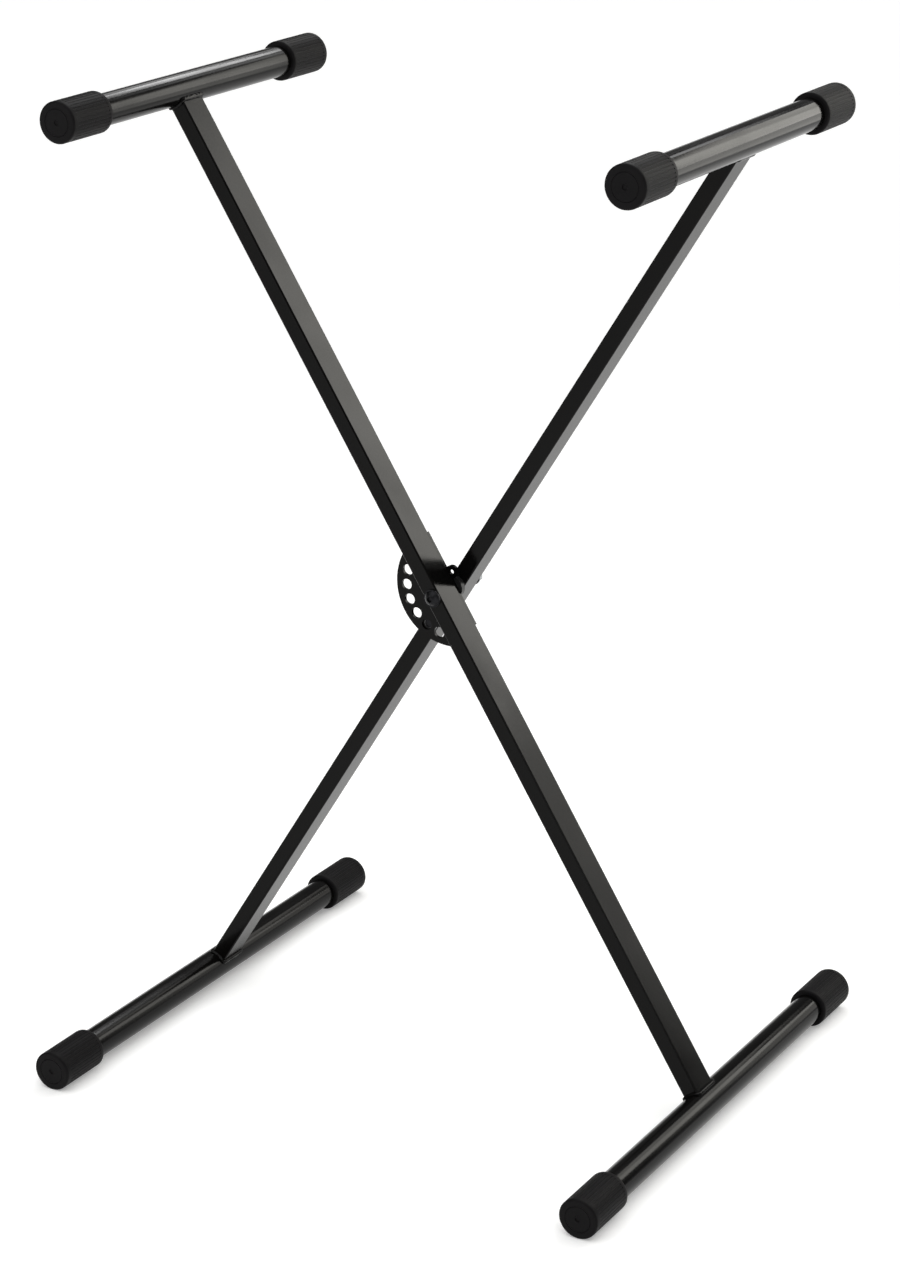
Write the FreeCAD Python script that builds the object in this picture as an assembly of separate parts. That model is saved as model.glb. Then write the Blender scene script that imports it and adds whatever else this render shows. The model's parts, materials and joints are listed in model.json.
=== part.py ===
"""Folding keyboard stand with two crossed legs, in millimetres.

The front leg and the rear leg are flat steel tubes that cross at one pivot bolt. Each leg is
welded to a round bar at the top, where the keyboard lies, and to a round bar on the floor.
A perforated half-disc on the front leg takes a sprung pin in the rear leg, one hole for each
opening angle. X runs across the stand, Y from front to rear and Z up. The origin is on the
floor, straight below the pivot.
"""
import FreeCAD, Part
import math
import os

from FreeCAD import Placement, Rotation, Vector

# ---- driving sizes -------------------------------------------------------------------------
# Legs: flat tube, with its wide side along Y
leg_width = 15.0
leg_depth = 30.0
leg_wall = 1.5
leg_corner = 1.5
leg_gap = 9.6                # between the facing walls of the two legs
upper_reach = 498.0          # pivot to the axis of a top bar, along the leg
lower_reach = 508.0          # pivot to the axis of a floor bar, along the leg

# Bars: round tube, each set a little towards its own leg
bar_diameter = 28.0
bar_wall = 1.5
top_bar_overall = 400.0      # over the end caps
floor_bar_overall = 520.0    # over the end caps
bar_shift = 2.25             # bar middle from the plane between the legs

# Rubber end caps
cap_diameter = 36.4
cap_length = 57.0
cap_end_wall = 5.0
cap_end_round = 2.0
cap_mouth_round = 2.0
cap_dimple_diameter = 5.0
cap_dimple_depth = 0.8

# Weld beads
weld_leg = 2.4               # beads round the leg ends
weld_plate = 3.0             # beads along the locking plate
weld_plate_length = 26.0
weld_plate_offset = 30.0     # bead middle from the pivot, along the leg

# Locking plate
plate_rim = 5.0              # material outside the locking holes
plate_thickness = 3.0
plate_inset = 1.0            # straight edge from the far side of the leg
lock_radius = 44.0           # circle of the locking holes
lock_hole_diameter = 10.0
first_lock_angle = 28.0      # angle between the legs in the first hole
lock_pitch = 18.0
lock_count = 7
stored_lock_index = 2        # the hole that the stand is set up in
ear_across = 10.2            # ear middle from the leg's centre line
ear_along = 12.5             # ear middle above the pivot, along the leg
ear_radius = 6.0
ear_hole_diameter = 4.5
storage_angle = 4.5          # angle between the legs when folded flat
notch_margin = 0.7           # room round the pin in the storage notch

# Pivot: button head bolt, washers, spacer, bushes and nut
bolt_diameter = 8.0
bolt_head_diameter = 14.0
bolt_head_height = 4.4
bolt_socket_flats = 5.0
bolt_socket_depth = 2.6
bolt_end_length = 1.5        # thread past the nut
nut_flats = 13.0
nut_height = 6.5
nut_collar_diameter = 11.0
nut_collar_height = 1.5
washer_diameter = 16.0
washer_thickness = 1.6
sleeve_diameter = 11.5
bush_diameter = 9.8
bush_length = 12.0
bush_flange_diameter = 16.0
bush_flange_thickness = 1.2
spacer_diameter = 22.0
running_fit = 0.05           # radial, bolt in bushes and pin in its guides
bolt_fit = 0.1               # radial, bolt in washers and sleeve
turning_gap = 0.2            # end play between faces that turn on each other

# Sprung locking pin in the rear leg
pin_diameter = 9.0
pin_tip_chamfer = 0.8
pin_stem_diameter = 6.0
pin_collar_diameter = 11.2
pin_collar_length = 2.0
pin_draw_clearance = 0.3     # tip to the plate with the pin drawn
pin_engaged_clearance = 0.2  # tip to the front leg with the pin home
guide_diameter = 11.0
guide_inner_length = 6.0
guide_flange_diameter = 14.0
guide_flange_thickness = 1.6
knob_diameter = 16.0
knob_length = 10.0
knob_gap = 0.3               # knob to guide with the pin home
knob_flutes = 12
knob_flute_depth = 0.7
knob_chamfer = 1.0
knob_socket_depth = 7.0
spring_diameter = 10.4
spring_wire = 1.1
spring_turns = 6
spring_steps = 8             # straight runs in one turn
spring_end_gap = 0.6         # spring to guide with the pin drawn
spring_seat_gap = 0.05       # spring to the pin's collar

# ---- worked out from them --------------------------------------------------------------------
legs_angle = first_lock_angle + lock_pitch * stored_lock_index
tilt = legs_angle / 2.0
bar_radius = bar_diameter / 2.0
cap_radius = cap_diameter / 2.0
pivot_height = lower_reach * math.cos(math.radians(tilt)) + cap_radius
pivot = Vector(0, 0, pivot_height)

plate_radius = lock_radius + lock_hole_diameter / 2.0 + plate_rim
inner_face = leg_gap / 2.0               # facing wall of each leg, from the middle plane
outer_face = inner_face + leg_depth      # far wall of each leg
leg_middle = inner_face + leg_depth / 2.0
plate_back = -inner_face + plate_thickness
rear_stack = outer_face + bush_flange_thickness + turning_gap
nut_start = rear_stack + washer_thickness
bolt_head_seat = -outer_face - washer_thickness
pin_tip = plate_back + pin_draw_clearance
pin_travel = pin_tip + inner_face - pin_engaged_clearance
pin_collar_start = inner_face + leg_wall + pin_travel
guide_end = outer_face + guide_flange_thickness
knob_start = guide_end + pin_travel + knob_gap
guide_start = outer_face - leg_wall - guide_inner_length

FRONT = -1                               # the front leg rises to the left
REAR = 1                                 # the rear leg rises to the right
Y_AXIS = Vector(0, 1, 0)


def save(name, shape):
    """Write one sub-part to its own file."""
    shape.exportStep("parts/" + name + ".step")


def lean(shape, side):
    """Turn a shape made round an upright leg to that leg's real tilt, at the pivot."""
    placed = shape.copy()
    leaning = Placement(pivot, Rotation(Y_AXIS, side * tilt))
    placed.Placement = leaning.multiply(shape.Placement)
    return placed


def rod(diameter, start, end, x=0.0, z=0.0):
    """A round bar along Y, from start to end."""
    return Part.makeCylinder(diameter / 2.0, end - start, Vector(x, start, z), Y_AXIS)


def ring(outer, inner, start, end, x=0.0, z=0.0):
    """A round tube or washer along Y."""
    return rod(outer, start, end, x, z).cut(rod(inner, start, end, x, z))


def turned(points, x=0.0, z=0.0):
    """Turn a closed outline of (radius, y) points about a line along Y."""
    corners = [Vector(x + radius, y, z) for radius, y in points]
    face = Part.Face(Part.makePolygon(corners + corners[:1]))
    return face.revolve(Vector(x, 0, z), Y_AXIS, 360)


def rounded_box(width, depth, corner, bottom, top):
    """An upright bar of rounded rectangular section, centred on the Z axis."""
    box = Part.makeBox(width, depth, top - bottom, Vector(-width / 2.0, -depth / 2.0, bottom))
    if corner <= 0:
        return box
    upright = [e for e in box.Edges if abs(e.tangentAt(e.FirstParameter).z) > 0.5]
    return box.makeFillet(corner, upright)


def leg_tube(side):
    """A leg's rectangular tube, with its two ends coped to fit the round bars."""
    bottom, top = -lower_reach, upper_reach
    outer = rounded_box(leg_width, leg_depth, leg_corner, bottom, top)
    inner = rounded_box(leg_width - 2 * leg_wall, leg_depth - 2 * leg_wall,
                        max(leg_corner - leg_wall, 0), bottom, top)
    tube = outer.cut(inner)
    tube.translate(Vector(0, side * leg_middle, 0))
    for height in (bottom, top):
        tube = tube.cut(rod(bar_diameter, -2 * outer_face, 2 * outer_face, z=height))
    return tube.cut(rod(sleeve_diameter, -2 * outer_face, 2 * outer_face))


def rounded_section(width, depth, corner, height):
    """The level outline of a rounded rectangular bar at one height."""
    box = rounded_box(width, depth, corner, height - leg_depth, height)
    top = max(box.Faces, key=lambda face: face.CenterOfMass.z)
    return top.OuterWire


def leg_weld(side, height):
    """The bead of weld round one end of a leg, sloping from the leg down to the bar."""
    inward = -math.copysign(1, height)
    crest = height + inward * (bar_radius + weld_leg)
    grown = bar_radius + weld_leg
    base = rounded_section(leg_width + 2 * grown, leg_depth + 2 * grown,
                           leg_corner + grown, height)
    tip = rounded_section(leg_width, leg_depth, leg_corner, crest)
    slope = Part.makeLoft([base, tip], True, True)
    low, high = sorted((height, crest))
    collar = rounded_box(leg_width + 2 * weld_leg, leg_depth + 2 * weld_leg,
                         leg_corner + weld_leg, low, high)
    leg = rounded_box(leg_width, leg_depth, leg_corner, low, high)
    bead = slope.common(collar).cut(leg)
    bead.translate(Vector(0, side * leg_middle, 0))
    reach = outer_face + 2 * weld_leg
    bead = bead.common(rod(bar_diameter + 2 * weld_leg, -reach, reach, z=height))
    return bead.cut(rod(bar_diameter, -reach, reach, z=height))


def bar_tube(side, height, overall):
    """A round bar, closed over its end walls by the caps."""
    half = overall / 2.0 - cap_end_wall
    middle = side * bar_shift
    return ring(bar_diameter, bar_diameter - 2 * bar_wall, middle - half, middle + half, z=height)


def end_cap(side, height, overall, end):
    """A rubber cup pushed over one end of a bar, with a dimple in its closed end."""
    arc = cap_end_round * (1 - math.sin(math.radians(45)))
    profile = [
        (0, -cap_dimple_depth),
        (cap_dimple_diameter / 2.0, -cap_dimple_depth),
        (cap_dimple_diameter / 2.0, 0),
        (cap_radius - cap_end_round, 0),
        (cap_radius - arc, -arc),
        (cap_radius, -cap_end_round),
        (cap_radius, cap_mouth_round - cap_length),
        (cap_radius - cap_mouth_round, -cap_length),
        (bar_radius, -cap_length),
        (bar_radius, -cap_end_wall),
        (0, -cap_end_wall),
    ]
    tip = side * bar_shift + end * overall / 2.0
    return turned([(radius, tip + end * y) for radius, y in profile], z=height)


def lock_point(angle):
    """The place of a locking hole for one angle between the legs, seen on the front leg."""
    turn = math.radians(angle)
    return -lock_radius * math.sin(turn), -lock_radius * math.cos(turn)


def locking_plate():
    """The half-disc with its locking holes, its storage notch and its small ear."""
    front = -inner_face
    plate = rod(2 * plate_radius, front, plate_back)
    edge = leg_width / 2.0 - plate_inset
    beyond = Part.makeBox(plate_radius, plate_thickness, 2 * plate_radius,
                          Vector(edge, front, -plate_radius))
    plate = plate.cut(beyond)
    neck = Part.makeBox(ear_across, plate_thickness, 2 * ear_radius,
                        Vector(0, front, ear_along - ear_radius))
    ear = neck.fuse(rod(2 * ear_radius, front, plate_back, ear_across, ear_along))
    plate = plate.fuse(ear).removeSplitter()
    storage_x, storage_z = lock_point(storage_angle)
    room = pin_diameter / 2.0 + notch_margin
    notch = Part.makeBox(plate_radius, plate_thickness, plate_radius,
                         Vector(storage_x - room, front, storage_z + room - plate_radius))
    plate = plate.cut(notch)
    for index in range(lock_count):
        x, z = lock_point(first_lock_angle + lock_pitch * index)
        plate = plate.cut(rod(lock_hole_diameter, front, plate_back, x, z))
    plate = plate.cut(rod(ear_hole_diameter, front, plate_back, ear_across, ear_along))
    return plate.cut(rod(bolt_diameter + 2 * bolt_fit, front, plate_back))


def plate_welds():
    """Two beads in the corner between the front leg and the locking plate."""
    side_x = -leg_width / 2.0
    face_y = -inner_face
    corner = Vector(side_x, face_y, 0)
    out = Vector(side_x - weld_plate, face_y, 0)
    up = Vector(side_x, face_y - weld_plate, 0)
    section = Part.Face(Part.makePolygon([corner, out, up, corner]))
    beads = []
    for middle in (weld_plate_offset, -weld_plate_offset + weld_plate_length / 2.0):
        bead = section.extrude(Vector(0, 0, weld_plate_length))
        bead.translate(Vector(0, 0, middle - weld_plate_length / 2.0))
        beads.append(bead)
    return Part.makeCompound(beads)


def hexagon(flats, start, end, x=0.0, z=0.0):
    """A six-sided bar along Y."""
    corner = flats / math.sqrt(3)
    points = []
    for index in range(7):
        turn = math.radians(60 * index)
        points.append(Vector(x + corner * math.cos(turn), start, z + corner * math.sin(turn)))
    return Part.Face(Part.makePolygon(points)).extrude(Vector(0, end - start, 0))


def pivot_bolt():
    """The button head bolt, with its socket at the front."""
    head_top = bolt_head_seat - bolt_head_height
    tip = nut_start + nut_height + bolt_end_length
    head = rod(bolt_head_diameter, head_top, bolt_head_seat)
    dome_radius = (bolt_head_diameter ** 2 / 4.0 + bolt_head_height ** 2) / (2 * bolt_head_height)
    dome = Part.makeSphere(dome_radius, Vector(0, head_top + dome_radius, 0))
    bolt = head.common(dome).fuse(rod(bolt_diameter, bolt_head_seat, tip)).removeSplitter()
    return bolt.cut(hexagon(bolt_socket_flats, head_top, head_top + bolt_socket_depth))


def pivot_nut():
    """A locking nut: hexagon with a round collar at its outer end."""
    end = nut_start + nut_height
    flat_part = hexagon(nut_flats, nut_start, end - nut_collar_height)
    collar = rod(nut_collar_diameter, end - nut_collar_height, end)
    nut = flat_part.fuse(collar).removeSplitter()
    return nut.cut(rod(bolt_diameter, nut_start, end))


def flanged_bush(face, outward):
    """A plastic bush pressed into the rear leg's sleeve, its flange on the leg's face."""
    inner, outer = sorted((face, face - outward * bush_length))
    low, high = sorted((face, face + outward * bush_flange_thickness))
    body = rod(bush_diameter, inner, outer).fuse(rod(bush_flange_diameter, low, high))
    bore = rod(bolt_diameter + 2 * running_fit, inner - bush_length, outer + bush_length)
    return body.removeSplitter().cut(bore)


def pin_hole(diameter, start, end):
    """A hole along Y at the place of the locking pin in the rear leg."""
    return rod(diameter, start, end, z=-lock_radius)


def locking_pin():
    """The pin: tip, collar against the spring and stem, drawn clear of the plate."""
    tip_radius = pin_diameter / 2.0
    collar_end = pin_collar_start + pin_collar_length
    stem_end = knob_start + knob_socket_depth
    profile = [
        (0, pin_tip),
        (tip_radius - pin_tip_chamfer, pin_tip),
        (tip_radius, pin_tip + pin_tip_chamfer),
        (tip_radius, pin_collar_start),
        (pin_collar_diameter / 2.0, pin_collar_start),
        (pin_collar_diameter / 2.0, collar_end),
        (pin_stem_diameter / 2.0, collar_end),
        (pin_stem_diameter / 2.0, stem_end),
        (0, stem_end),
    ]
    return turned(profile, z=-lock_radius)


def pull_knob():
    """The fluted knob on the end of the pin."""
    end = knob_start + knob_length
    outer = knob_diameter / 2.0
    points = []
    for index in range(4 * knob_flutes + 1):
        radius = outer - (knob_flute_depth if index % 4 in (1, 2) else 0)
        turn = math.radians(90.0 * index / knob_flutes)
        x, z = radius * math.cos(turn), radius * math.sin(turn)
        points.append(Vector(x, knob_start, z - lock_radius))
    knob = Part.Face(Part.makePolygon(points)).extrude(Vector(0, knob_length, 0))
    rounded = turned([
        (0, knob_start),
        (outer - knob_chamfer, knob_start),
        (outer, knob_start + knob_chamfer),
        (outer, end - knob_chamfer),
        (outer - knob_chamfer, end),
        (0, end),
    ], z=-lock_radius)
    socket = pin_hole(pin_stem_diameter, knob_start, knob_start + knob_socket_depth)
    return knob.common(rounded).cut(socket)


def lock_spring():
    """The compression spring between the pin's collar and the guide, in short straight runs."""
    start = pin_collar_start + pin_collar_length + spring_seat_gap + spring_wire / 2.0
    end = guide_start - spring_end_gap - spring_wire / 2.0
    coil_radius = (spring_diameter - spring_wire) / 2.0
    steps = spring_turns * spring_steps
    route = []
    for index in range(steps + 1):
        turn = 2 * math.pi * index / spring_steps
        x, z = coil_radius * math.cos(turn), coil_radius * math.sin(turn)
        route.append(Vector(x, start + (end - start) * index / steps, z - lock_radius))
    along = route[1] - route[0]
    side_x = Vector(1, 0, 0) - along * (along.x / along.dot(along))
    side_x.normalize()
    side_z = along.cross(side_x).normalize()
    section = []
    for index in range(7):
        turn = math.radians(60 * index)
        section.append(route[0] + side_x * (math.cos(turn) * spring_wire / 2.0)
                       + side_z * (math.sin(turn) * spring_wire / 2.0))
    wire = Part.makePolygon(section)
    return Part.makePolygon(route).makePipeShell([wire], True, False, 1)


def pin_guide():
    """The flanged bush in the rear wall of the rear leg that the stem slides in."""
    body = pin_hole(guide_diameter, guide_start, outer_face)
    flange = pin_hole(guide_flange_diameter, outer_face, guide_end)
    bore = pin_hole(pin_stem_diameter + 2 * running_fit, guide_start, guide_end)
    return body.fuse(flange).removeSplitter().cut(bore)


def rear_leg_tube():
    """The rear leg's tube, with the holes for the locking pin and its guide."""
    tube = leg_tube(REAR)
    front_hole = pin_hole(pin_diameter + 2 * running_fit, inner_face, leg_middle)
    rear_hole = pin_hole(guide_diameter, leg_middle, outer_face)
    return tube.cut(front_hole).cut(rear_hole)


def main():
    os.makedirs("parts", exist_ok=True)

    frames = (
        (FRONT, "front_leg", "top_left", "bottom_right"),
        (REAR, "rear_leg", "top_right", "bottom_left"),
    )
    for side, leg_name, top_name, floor_name in frames:
        tube = leg_tube(side) if side == FRONT else rear_leg_tube()
        save(leg_name, lean(tube, side))
        bars = (
            (top_name, upper_reach, top_bar_overall, "top"),
            (floor_name, -lower_reach, floor_bar_overall, "bottom"),
        )
        for bar_name, height, overall, place in bars:
            save(bar_name + "_bar", lean(bar_tube(side, height, overall), side))
            save(leg_name + "_" + place + "_weld", lean(leg_weld(side, height), side))
            for end, end_name in ((-1, "front"), (1, "rear")):
                cap = end_cap(side, height, overall, end)
                save(bar_name + "_" + end_name + "_cap", lean(cap, side))

    # The locking plate is welded to the front leg
    save("locking_plate", lean(locking_plate(), FRONT))
    save("locking_plate_welds", lean(plate_welds(), FRONT))

    # The pivot: the bolt, its washers, spacer and nut stay with the front leg
    loose_hole = bolt_diameter + 2 * bolt_fit
    front_sleeve = ring(sleeve_diameter, loose_hole, -outer_face, -inner_face)
    rear_bore = bush_diameter
    rear_sleeve = ring(sleeve_diameter, rear_bore, inner_face, outer_face)
    spacer_end = inner_face - bush_flange_thickness - turning_gap
    save("front_pivot_sleeve", lean(front_sleeve, FRONT))
    save("pivot_bolt", lean(pivot_bolt(), FRONT))
    save("front_washer", lean(ring(washer_diameter, loose_hole, bolt_head_seat, -outer_face), FRONT))
    save("pivot_spacer", lean(ring(spacer_diameter, loose_hole, plate_back, spacer_end), FRONT))
    save("rear_washer", lean(ring(washer_diameter, loose_hole, rear_stack, nut_start), FRONT))
    save("pivot_nut", lean(pivot_nut(), FRONT))
    save("rear_pivot_sleeve", lean(rear_sleeve, REAR))
    save("front_pivot_bush", lean(flanged_bush(inner_face, -1), REAR))
    save("rear_pivot_bush", lean(flanged_bush(outer_face, 1), REAR))

    # The sprung pin rides in the rear leg
    save("pin_guide", lean(pin_guide(), REAR))
    save("lock_pin", lean(locking_pin(), REAR))
    save("lock_spring", lean(lock_spring(), REAR))
    save("pull_knob", lean(pull_knob(), REAR))


main()
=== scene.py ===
"""Looks of the folding keyboard stand: painted steel tubes, rubber caps and the pivot.

Sizes are in metres, unless a name ends in _mm or _pixels.
"""
import json
import math

import bpy
import bmesh
from mathutils import Matrix, Vector

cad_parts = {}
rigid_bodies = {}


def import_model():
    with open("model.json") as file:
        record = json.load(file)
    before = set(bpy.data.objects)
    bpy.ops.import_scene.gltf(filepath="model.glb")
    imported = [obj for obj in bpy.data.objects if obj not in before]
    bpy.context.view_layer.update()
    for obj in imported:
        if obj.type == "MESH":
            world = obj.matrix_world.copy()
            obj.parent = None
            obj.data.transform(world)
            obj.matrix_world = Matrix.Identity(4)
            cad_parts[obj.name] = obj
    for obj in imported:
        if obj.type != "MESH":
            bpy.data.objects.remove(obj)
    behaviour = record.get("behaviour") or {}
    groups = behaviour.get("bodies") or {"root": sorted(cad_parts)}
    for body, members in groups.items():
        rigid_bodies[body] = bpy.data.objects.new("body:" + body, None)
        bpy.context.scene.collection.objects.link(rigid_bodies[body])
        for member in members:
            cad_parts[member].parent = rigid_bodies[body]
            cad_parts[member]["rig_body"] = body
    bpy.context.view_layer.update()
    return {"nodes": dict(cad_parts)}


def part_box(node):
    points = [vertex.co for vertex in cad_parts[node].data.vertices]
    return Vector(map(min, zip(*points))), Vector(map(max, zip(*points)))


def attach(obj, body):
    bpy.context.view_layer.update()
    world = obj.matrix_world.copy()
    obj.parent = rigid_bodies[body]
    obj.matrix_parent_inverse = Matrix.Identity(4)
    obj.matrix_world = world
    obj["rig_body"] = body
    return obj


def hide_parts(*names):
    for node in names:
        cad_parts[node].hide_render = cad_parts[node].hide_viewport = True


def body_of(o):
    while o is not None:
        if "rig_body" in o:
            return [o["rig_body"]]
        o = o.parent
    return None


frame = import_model()
cad_nodes = frame["nodes"]


# ---- Camera -------------------------------------------------------------------------------------
# The photograph's viewpoint: well back from the stand, right of its front and above the pivot.
# Place, turn and focal length come from lining up the bars, the legs and the caps.
camera_place = Vector((1.4211, -2.4897, 1.4104))
camera_turn = math.radians(29.757)
camera_dip = math.radians(19.358)
photo_height_pixels = 1272
focal_length_pixels = 3414.7
sensor_mm = 36.0    # the sensor's long side, which spans the photograph's height

camera_data = bpy.data.cameras.new("camera")
camera_data.sensor_width = sensor_mm
camera_data.lens = sensor_mm * focal_length_pixels / photo_height_pixels
camera = bpy.data.objects.new("camera", camera_data)
bpy.context.scene.collection.objects.link(camera)
camera.location = camera_place
camera.rotation_euler = (math.pi / 2 - camera_dip, 0, camera_turn)
bpy.context.scene.camera = camera


# ---- Front leg ----------------------------------------------------------------------------------
# A flat steel tube, 30 by 15 mm with small corner radii, dipped and stoved in gloss black paint.
# The round bars are welded across its two ends.
paint_black = "070707"
paint_warm_black = "0C0B0A"
paint_patch_mm = 70.0
paint_patch_low = 0.3
paint_patch_high = 0.7
paint_smooth = 0.11
paint_dull = 0.2
paint_ior = 1.5
paint_gloss = 0.1
paint_ripple_mm = 3.0
paint_ripple_height = 0.00002

# A Mix node has sockets for every kind of value. These are the numbers of its colour ones.
mix_share, mix_first, mix_second = 0, 6, 7
mix_result = 2


def linear(colour):
    """A six-digit sRGB colour as linear red, green and blue, with full alpha."""
    channels = []
    for start in (0, 2, 4):
        value = int(colour[start:start + 2], 16) / 255
        value = value / 12.92 if value <= 0.04045 else ((value + 0.055) / 1.055) ** 2.4
        channels.append(value)
    return (*channels, 1.0)


def add_node(tree, kind, settings=None, inputs=None):
    """Add a shader node, set its settings, and link or set its inputs by name or number."""
    made = tree.nodes.new(kind)
    for name, value in (settings or {}).items():
        setattr(made, name, value)
    for name, value in (inputs or {}).items():
        if isinstance(value, bpy.types.NodeSocket):
            tree.links.new(value, made.inputs[name])
        else:
            made.inputs[name].default_value = value
    return made


def new_finish(name):
    """A named material with an empty node tree, and its Object coordinates."""
    material = bpy.data.materials.new(name)
    material.use_nodes = True
    tree = material.node_tree
    tree.nodes.clear()
    place = add_node(tree, "ShaderNodeTexCoord").outputs["Object"]
    return material, tree, place


def dress(names, finish):
    """Give a finish to nodes of the fixed model."""
    for name in names:
        mesh = cad_nodes[name].data
        mesh.materials.clear()
        mesh.materials.append(finish)


# Stoved gloss paint on steel: black to the eye, a little warmer in broad patches, with a faint
# orange-peel ripple that softens the edges of reflections. Its gloss is low for a paint, because
# bright paper and soft boxes are mirrored in it from all sides.
gloss_paint, tree, place = new_finish("stoved_gloss_black_paint")
patches = add_node(tree, "ShaderNodeTexNoise", None,
                   {"Vector": place, "Scale": 1000 / paint_patch_mm, "Detail": 3.0})
colour = add_node(tree, "ShaderNodeMix", {"data_type": "RGBA"},
                  {mix_share: patches.outputs["Fac"], mix_first: linear(paint_black),
                   mix_second: linear(paint_warm_black)})
dullness = add_node(tree, "ShaderNodeMapRange", None,
                    {"Value": patches.outputs["Fac"],
                     "From Min": paint_patch_low, "From Max": paint_patch_high,
                     "To Min": paint_smooth, "To Max": paint_dull})
ripple = add_node(tree, "ShaderNodeTexNoise", None,
                  {"Vector": place, "Scale": 1000 / paint_ripple_mm, "Detail": 1.0})
bump = add_node(tree, "ShaderNodeBump", None,
                {"Height": ripple.outputs["Fac"], "Strength": 1.0,
                 "Distance": paint_ripple_height})
surface = add_node(tree, "ShaderNodeBsdfPrincipled", None,
                   {"Base Color": colour.outputs[mix_result],
                    "Roughness": dullness.outputs["Result"], "Normal": bump.outputs["Normal"],
                    "IOR": paint_ior, "Specular IOR Level": paint_gloss})
add_node(tree, "ShaderNodeOutputMaterial", None, {"Surface": surface.outputs["BSDF"]})

dress(["front_leg"], gloss_paint)


# ---- Top left bar and bottom right bar ----------------------------------------------------------
# Round steel tubes, 28 mm across, welded across the ends of the front leg and painted with it.
# The upper one carries the keyboard, and the lower one stands on the floor.
dress(["top_left_bar", "bottom_right_bar"], gloss_paint)


# ---- Weld beads of the front leg ----------------------------------------------------------------
# Fillet welds laid round each end of the leg. Each is a thick, slightly lumpy bead whose ripples
# show through the paint.
bead_join_gap = 0.00001
bead_grain = 0.0005
bead_melt_strength = 0.5
bead_melt_passes = 8
bead_ripple_mm = 2.6
bead_ripple_height = 0.0003
bead_ripple_level = 0.6    # the part of a ripple that lies below the plain bead


def weld_bead(node, body):
    """A rounded and rippled bead in the place of the plain sloped one."""
    bpy.ops.object.select_all(action="DESELECT")
    source = cad_nodes[node]
    bead = bpy.data.objects.new(node + "_bead", source.data.copy())
    bpy.context.scene.collection.objects.link(bead)
    bead.matrix_world = source.matrix_world.copy()
    bpy.context.view_layer.objects.active = bead
    bead.select_set(True)
    bpy.ops.object.mode_set(mode="EDIT")
    bpy.ops.mesh.select_all(action="SELECT")
    bpy.ops.mesh.remove_doubles(threshold=bead_join_gap)
    bpy.ops.object.mode_set(mode="OBJECT")

    remesh = bead.modifiers.new("even_grain", "REMESH")
    remesh.mode = "VOXEL"
    remesh.voxel_size = bead_grain
    soften = bead.modifiers.new("melt", "SMOOTH")
    soften.factor = bead_melt_strength
    soften.iterations = bead_melt_passes
    ripples = bpy.data.textures.new(node + "_ripples", "CLOUDS")
    ripples.noise_scale = bead_ripple_mm / 1000
    ripples.noise_depth = 1
    lumps = bead.modifiers.new("ripples", "DISPLACE")
    lumps.texture = ripples
    lumps.texture_coords = "LOCAL"
    lumps.strength = bead_ripple_height
    lumps.mid_level = bead_ripple_level
    for modifier in ("even_grain", "melt", "ripples"):
        bpy.ops.object.modifier_apply(modifier=modifier)
    bpy.ops.object.shade_smooth()

    bead.data.materials.clear()
    bead.data.materials.append(gloss_paint)
    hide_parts(node)
    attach(bead, body)


weld_bead("front_leg_top_weld", "front_frame")
weld_bead("front_leg_bottom_weld", "front_frame")


# ---- Locking plate ------------------------------------------------------------------------------
# A 3 mm steel plate, cut as a half-disc with seven locking holes and a small ear, welded to the
# front leg behind the bolt and painted with it.
dress(["locking_plate", "locking_plate_welds"], gloss_paint)


# ---- End caps -----------------------------------------------------------------------------------
# Thick moulded rubber cups pushed over the bars' ends. They are dull black, with fine ribs along
# their sides for grip, a ring and a small gate mark on their closed ends, and a rounded mouth.
bar_radius = 0.014
cap_end_wall = 0.005
cap_edge_round = 0.002
cap_edge_steps = 5
cap_crease = math.radians(40)    # a sharper turn than this stays an edge to the eye

cap_ribs = 36
cap_rib_side = 0.0003
cap_rib_depth = 0.00035
cap_plain_end = 0.006
cap_plain_mouth = 0.005

cap_ring_radius = 0.0122
cap_ring_width = 0.0009
cap_ring_depth = 0.0004
cap_gate_radius = 0.0025
cap_gate_side = 0.0004
cap_gate_depth = 0.0008

rubber_black = "080708"
rubber_bloom = "131213"
rubber_bloom_mm = 25.0
rubber_grain_mm = 0.9
rubber_grain_height = 0.00006
rubber_roughness = 0.5
rubber_gloss = 0.085

same_place = 0.00001    # how near a plane a point counts as lying in it
facing_along = 0.99     # a normal's share along the bar, in a face square to the bar
facing_aside = 0.5      # the most that such a share is, in a face of the cap's side

# Moulded natural rubber: dull, with a greyer bloom in patches and a fine moulded grain, which is
# drawn coarser than it is, so that it shows.
rubber, tree, place = new_finish("moulded_black_rubber")
bloom = add_node(tree, "ShaderNodeTexNoise", None,
                 {"Vector": place, "Scale": 1000 / rubber_bloom_mm, "Detail": 5.0})
colour = add_node(tree, "ShaderNodeMix", {"data_type": "RGBA"},
                  {mix_share: bloom.outputs["Fac"], mix_first: linear(rubber_black),
                   mix_second: linear(rubber_bloom)})
grain = add_node(tree, "ShaderNodeTexNoise", None,
                 {"Vector": place, "Scale": 1000 / rubber_grain_mm, "Detail": 3.0})
bump = add_node(tree, "ShaderNodeBump", None,
                {"Height": grain.outputs["Fac"], "Strength": 1.0,
                 "Distance": rubber_grain_height})
surface = add_node(tree, "ShaderNodeBsdfPrincipled", None,
                   {"Base Color": colour.outputs[mix_result], "Roughness": rubber_roughness,
                    "Normal": bump.outputs["Normal"], "Specular IOR Level": rubber_gloss})
add_node(tree, "ShaderNodeOutputMaterial", None, {"Surface": surface.outputs["BSDF"]})


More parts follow.
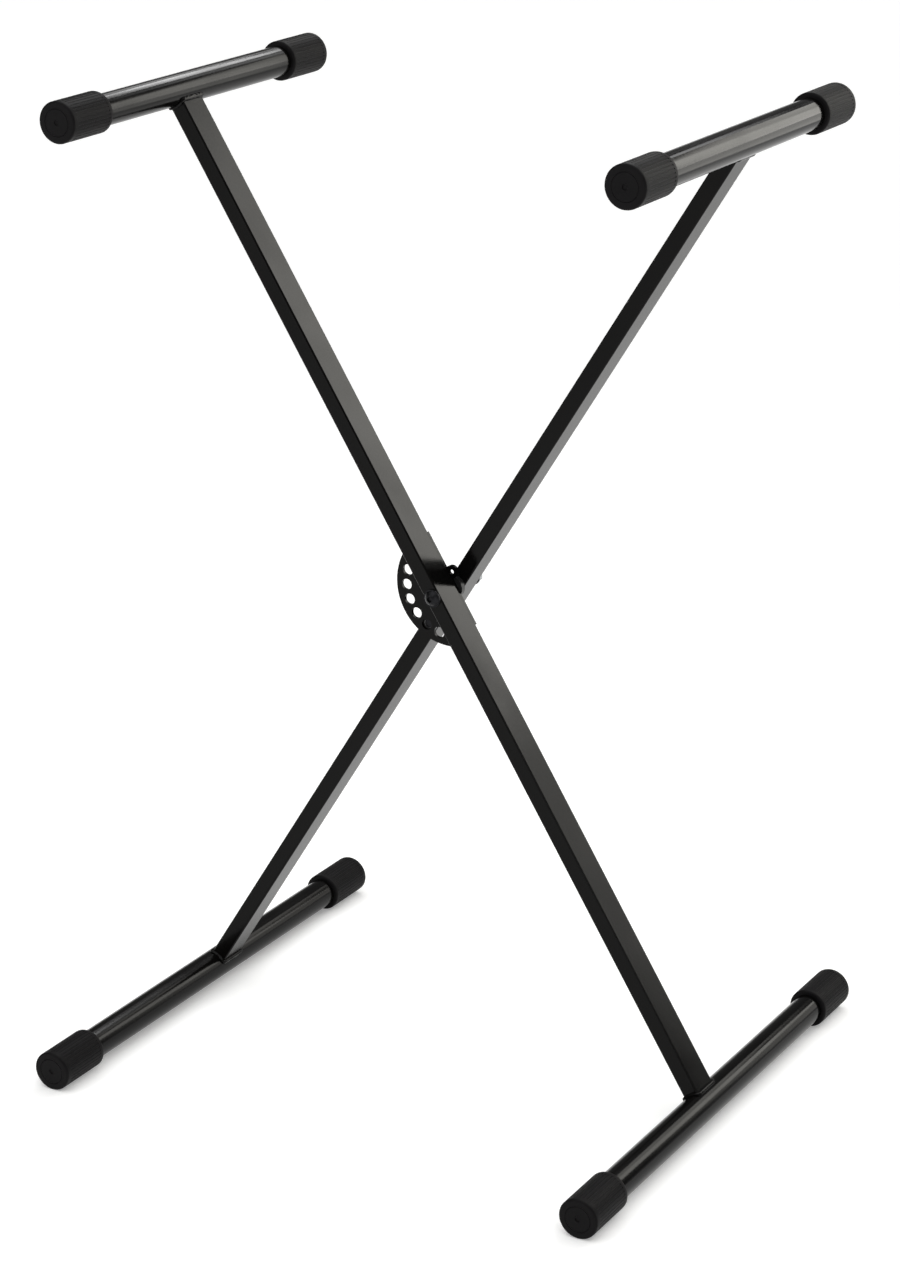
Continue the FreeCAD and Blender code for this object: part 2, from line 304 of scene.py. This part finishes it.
def cap_frame(node):
    """A cap's middle, where its closed end and its mouth are along the bar, and its radius."""
    low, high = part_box(node)
    middle = (Vector(low) + Vector(high)) / 2
    radius = (high[2] - low[2]) / 2
    if "_front_" in node:
        return middle, low[1], high[1], radius
    return middle, high[1], low[1], radius


def select_only(obj, kind, test):
    """In edit mode, select the faces or the edges that pass the test, and no others."""
    mesh = bmesh.from_edit_mesh(obj.data)
    parts = getattr(mesh, kind)
    chosen = [part for part in parts if test(part)]
    for part in parts:
        part.select_set(False)
    for part in chosen:
        part.select_set(True)
    bmesh.update_edit_mesh(obj.data)


# One cap is modelled in its place and copied to the others.
cap_nodes = [name for name in cad_nodes if name.endswith("_cap")]
first_cap = "top_left_front_cap"
cap_middle, cap_end, cap_mouth, cap_radius = cap_frame(first_cap)
ribs_start = cap_end + cap_plain_end
ribs_stop = cap_mouth - cap_plain_mouth

bpy.ops.object.select_all(action="DESELECT")
bpy.ops.mesh.primitive_cylinder_add(
    vertices=2 * cap_ribs, radius=cap_radius, depth=cap_mouth - cap_end,
    location=(cap_middle.x, (cap_end + cap_mouth) / 2, cap_middle.z),
    rotation=(math.pi / 2, 0, 0))
cap = bpy.context.object
bpy.ops.object.transform_apply(location=True, rotation=True, scale=True)
bpy.ops.object.mode_set(mode="EDIT")
bpy.ops.mesh.select_mode(type="EDGE")
for ring_place in (ribs_start, ribs_stop):
    bpy.ops.mesh.select_all(action="SELECT")
    bpy.ops.mesh.bisect(plane_co=(0, ring_place, 0), plane_no=(0, 1, 0))

# The rounded rims of the closed end and the mouth.
for rim in (cap_end, cap_mouth):
    select_only(cap, "edges",
                lambda edge: all(abs(point.co.y - rim) < same_place for point in edge.verts))
    bpy.ops.mesh.bevel(offset=cap_edge_round, segments=cap_edge_steps, profile=0.5,
                       affect="EDGES")

# Every second strip of the side sinks between the ribs.
bpy.ops.mesh.select_mode(type="FACE")


def groove(face):
    """Whether a face is one of the strips between two ribs."""
    place = face.calc_center_median()
    if abs(face.normal.y) > facing_aside or not ribs_start < place.y < ribs_stop:
        return False
    turn = math.atan2(place.z - cap_middle.z, place.x - cap_middle.x)
    return round(turn / (math.pi / cap_ribs) - 0.5) % 2 == 0


select_only(cap, "faces", groove)
bpy.ops.mesh.inset(thickness=cap_rib_side, depth=-cap_rib_depth, use_individual=True)

# The closed end: a sunk ring, and the gate mark at its middle.
select_only(cap, "faces", lambda face: face.normal.y < -facing_along
            and abs(face.calc_center_median().y - cap_end) < same_place)
flat_radius = cap_radius - cap_edge_round
bpy.ops.mesh.inset(thickness=flat_radius - cap_ring_radius)
bpy.ops.mesh.inset(thickness=cap_ring_width / 2, depth=-cap_ring_depth)
bpy.ops.mesh.inset(thickness=cap_ring_width / 2, depth=cap_ring_depth)
bpy.ops.mesh.inset(thickness=cap_ring_radius - cap_ring_width - cap_gate_radius)
bpy.ops.mesh.inset(thickness=cap_gate_side, depth=-cap_gate_depth)

# The mouth and the bore that takes the bar.
select_only(cap, "faces", lambda face: face.normal.y > facing_along
            and abs(face.calc_center_median().y - cap_mouth) < same_place)
bpy.ops.mesh.inset(thickness=flat_radius - bar_radius)
bpy.ops.mesh.extrude_region_move(
    TRANSFORM_OT_translate={"value": (0, cap_end + cap_end_wall - cap_mouth, 0)})
bpy.ops.object.mode_set(mode="OBJECT")
bpy.ops.object.shade_smooth_by_angle(angle=cap_crease)
cap.data.materials.append(rubber)
cap.name = "ribbed_" + first_cap
cap.data.name = cap.name

# The copies. A cap on a bar's rear end is turned round, so that its mouth faces the bar.
for name in cap_nodes:
    if name == first_cap:
        piece = cap
    else:
        middle, end, mouth, _ = cap_frame(name)
        piece = bpy.data.objects.new("ribbed_" + name, cap.data.copy())
        piece.data.name = piece.name
        bpy.context.scene.collection.objects.link(piece)
        to_middle = Matrix.Translation((-cap_middle.x, -cap_end, -cap_middle.z))
        turn = Matrix.Rotation(0 if mouth > end else math.pi, 4, "Z")
        piece.data.transform(Matrix.Translation((middle.x, end, middle.z)) @ turn @ to_middle)
    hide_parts(name)
    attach(piece, body_of(cad_nodes[name])[0])


# ---- Pivot: sleeves, bolt, washers, spacer and nut ----------------------------------------------
# A black button-head bolt runs through a steel sleeve in each leg. A nylon spacer keeps the legs
# apart, and a lock nut on a washer holds them from behind.
def small_part_finish(name, colours, metallic, roughness, grain_mm, grain_height):
    """A finish for a small part: two tones in fine patches, over a fine grain."""
    finish, tree, place = new_finish(name)
    grain = add_node(tree, "ShaderNodeTexNoise", None,
                     {"Vector": place, "Scale": 1000 / grain_mm, "Detail": 4.0})
    colour = add_node(tree, "ShaderNodeMix", {"data_type": "RGBA"},
                      {mix_share: grain.outputs["Fac"], mix_first: linear(colours[0]),
                       mix_second: linear(colours[1])})
    bump = add_node(tree, "ShaderNodeBump", None,
                    {"Height": grain.outputs["Fac"], "Strength": 1.0, "Distance": grain_height})
    surface = add_node(tree, "ShaderNodeBsdfPrincipled", None,
                       {"Base Color": colour.outputs[mix_result], "Metallic": metallic,
                        "Roughness": roughness, "Normal": bump.outputs["Normal"]})
    add_node(tree, "ShaderNodeOutputMaterial", None, {"Surface": surface.outputs["BSDF"]})
    return finish


# Black oxide on steel: near black with a soft metallic shine.
black_oxide = small_part_finish("black_oxide_steel", ("1E1E20", "2B2B2D"), metallic=1.0,
                                roughness=0.38, grain_mm=1.5, grain_height=0.00002)
# Bright zinc plate: light grey, a little cloudy.
bright_zinc = small_part_finish("bright_zinc_plate", ("9DA0A3", "B4B6B8"), metallic=1.0,
                                roughness=0.3, grain_mm=2.5, grain_height=0.00001)
# Moulded nylon: black and waxy, its grain drawn coarser than it is.
black_nylon = small_part_finish("moulded_black_nylon", ("141414", "1C1C1C"), metallic=0.0,
                                roughness=0.42, grain_mm=1.0, grain_height=0.00002)

dress(["pivot_bolt", "front_washer"], black_oxide)
dress(["front_pivot_sleeve", "rear_pivot_sleeve", "rear_washer", "pivot_nut"], bright_zinc)
dress(["pivot_spacer", "front_pivot_bush", "rear_pivot_bush"], black_nylon)


# ---- Rear leg and its bars ----------------------------------------------------------------------
# The same flat tube and round bars as in front, welded and painted in the same way. This leg turns
# on the pivot bolt.
dress(["rear_leg", "top_right_bar", "bottom_left_bar"], gloss_paint)
weld_bead("rear_leg_top_weld", "rear_frame")
weld_bead("rear_leg_bottom_weld", "rear_frame")


# ---- Locking pin --------------------------------------------------------------------------------
# A blackened steel pin slides through a zinc-plated guide in the rear leg. A coil spring pushes it
# into the plate's holes, and a fluted plastic knob behind the leg pulls it back.

# Moulded ABS: black and dull, its grain drawn coarser than it is.
black_abs = small_part_finish("moulded_black_abs", ("121212", "1A1A1A"), metallic=0.0,
                              roughness=0.45, grain_mm=0.8, grain_height=0.00003)
dress(["lock_pin"], black_oxide)
dress(["pin_guide", "lock_spring"], bright_zinc)
dress(["pull_knob"], black_abs)


# ---- Floor, sky and lamps -----------------------------------------------------------------------
# Pale paper runs to the horizon under a white studio ceiling. Soft boxes stand in a row behind the
# stand, where the round bars and the legs' sides mirror them, and a few in front do the same for
# its back.
paper_colour = "F6F6F5"
paper_lift = 0.25
floor_size = 80

bpy.ops.object.select_all(action="DESELECT")
bpy.ops.mesh.primitive_plane_add(size=floor_size, location=(0, 0, 0))
floor = bpy.context.object
floor.name = "floor"

# Matt studio paper, lifted to white where the camera or a reflection sees it.
studio_paper, tree, _ = new_finish("pale_studio_paper")
fibres = add_node(tree, "ShaderNodeBsdfDiffuse", None, {"Color": linear(paper_colour)})
rays = add_node(tree, "ShaderNodeLightPath")
seen = add_node(tree, "ShaderNodeMath", {"operation": "MAXIMUM"},
                {0: rays.outputs["Is Camera Ray"], 1: rays.outputs["Is Glossy Ray"]})
seen = add_node(tree, "ShaderNodeMath", {"operation": "MAXIMUM"},
                {0: seen.outputs["Value"], 1: rays.outputs["Is Transmission Ray"]})
lift = add_node(tree, "ShaderNodeMath", {"operation": "MULTIPLY"},
                {0: seen.outputs["Value"], 1: paper_lift})
glow = add_node(tree, "ShaderNodeEmission", None, {"Strength": lift.outputs["Value"]})
both = add_node(tree, "ShaderNodeAddShader", None,
                {0: fibres.outputs["BSDF"], 1: glow.outputs["Emission"]})
add_node(tree, "ShaderNodeOutputMaterial", None, {"Surface": both.outputs["Shader"]})
floor.data.materials.append(studio_paper)

# The sky by height, from 0 at the horizon to 1 overhead: white at the horizon, where it meets the
# paper, then a grey belt that keeps the paint's sides dark, then the white ceiling.
horizon_white = 1.0
belt_grey = 0.15
ceiling_white = 1.5
horizon_top, belt_bottom = 0.02, 0.12
belt_top, ceiling_edge = 0.62, 0.8

world = bpy.data.worlds.new("studio")
bpy.context.scene.world = world
world.use_nodes = True
tree = world.node_tree
direction = add_node(tree, "ShaderNodeTexCoord").outputs["Generated"]
height = add_node(tree, "ShaderNodeSeparateXYZ", None, {"Vector": direction}).outputs["Z"]
lower = add_node(tree, "ShaderNodeMapRange", {"interpolation_type": "SMOOTHSTEP"},
                 {"Value": height, "From Min": horizon_top, "From Max": belt_bottom,
                  "To Min": horizon_white, "To Max": belt_grey})
upper = add_node(tree, "ShaderNodeMapRange", {"interpolation_type": "SMOOTHSTEP"},
                 {"Value": height, "From Min": belt_top, "From Max": ceiling_edge,
                  "To Min": 0.0, "To Max": ceiling_white - belt_grey})
light = add_node(tree, "ShaderNodeMath", {"operation": "ADD"},
                 {0: lower.outputs["Result"], 1: upper.outputs["Result"]})
background = tree.nodes["Background"]
background.inputs["Color"].default_value = (1, 1, 1, 1)
tree.links.new(light.outputs["Value"], background.inputs["Strength"])

plain_white = (1.0, 1.0, 1.0)
warm_white = (1.0, 0.98, 0.92)
row_behind = 2.0
row_in_front = -2.2


def soft_box(name, place, width, height, brightness, tint=plain_white, aim=None):
    """A soft box, square to the stand unless it is aimed; brightness 1 looks like white paper."""
    aim = aim or (place[0], 0.0, place[2])
    data = bpy.data.lights.new(name, "AREA")
    data.shape = "RECTANGLE"
    data.size = width
    data.size_y = height
    data.color = tint
    data.energy = brightness * math.pi * width * height
    lamp = bpy.data.objects.new(name, data)
    bpy.context.scene.collection.objects.link(lamp)
    lamp.location = place
    lamp.rotation_euler = (Vector(aim) - Vector(place)).to_track_quat("-Z", "Y").to_euler()
    lamp.visible_camera = False


# Each has its place, its width and height, and its brightness.
soft_box("tall_box_behind_right", (1.15, row_behind, 1.45), 0.6, 1.0, 6.6, warm_white)
soft_box("low_box_behind_right", (1.25, row_behind, 0.6), 0.7, 0.7, 2.4, warm_white)
soft_box("box_behind", (0.55, row_behind, 1.65), 0.6, 0.6, 3.9, warm_white)
soft_box("high_box_behind", (0.1, row_behind, 2.1), 0.4, 0.45, 3.0)
soft_box("strip_box_behind_left", (-0.62, row_behind, 2.25), 0.8, 0.3, 12.0)
soft_box("box_behind_left", (-1.3, row_behind, 2.1), 0.6, 0.6, 2.0)
soft_box("box_front_right", (2.4, -1.7, 1.2), 0.8, 0.8, 4.0, aim=(0.0, 0.0, 0.3))
soft_box("tall_box_front_left", (-1.2, row_in_front, 1.5), 0.8, 1.4, 3.0)
soft_box("strip_box_front", (0.4, row_in_front, 2.2), 1.0, 0.4, 5.0)
bpy.context.scene.view_settings.view_transform = "Standard"
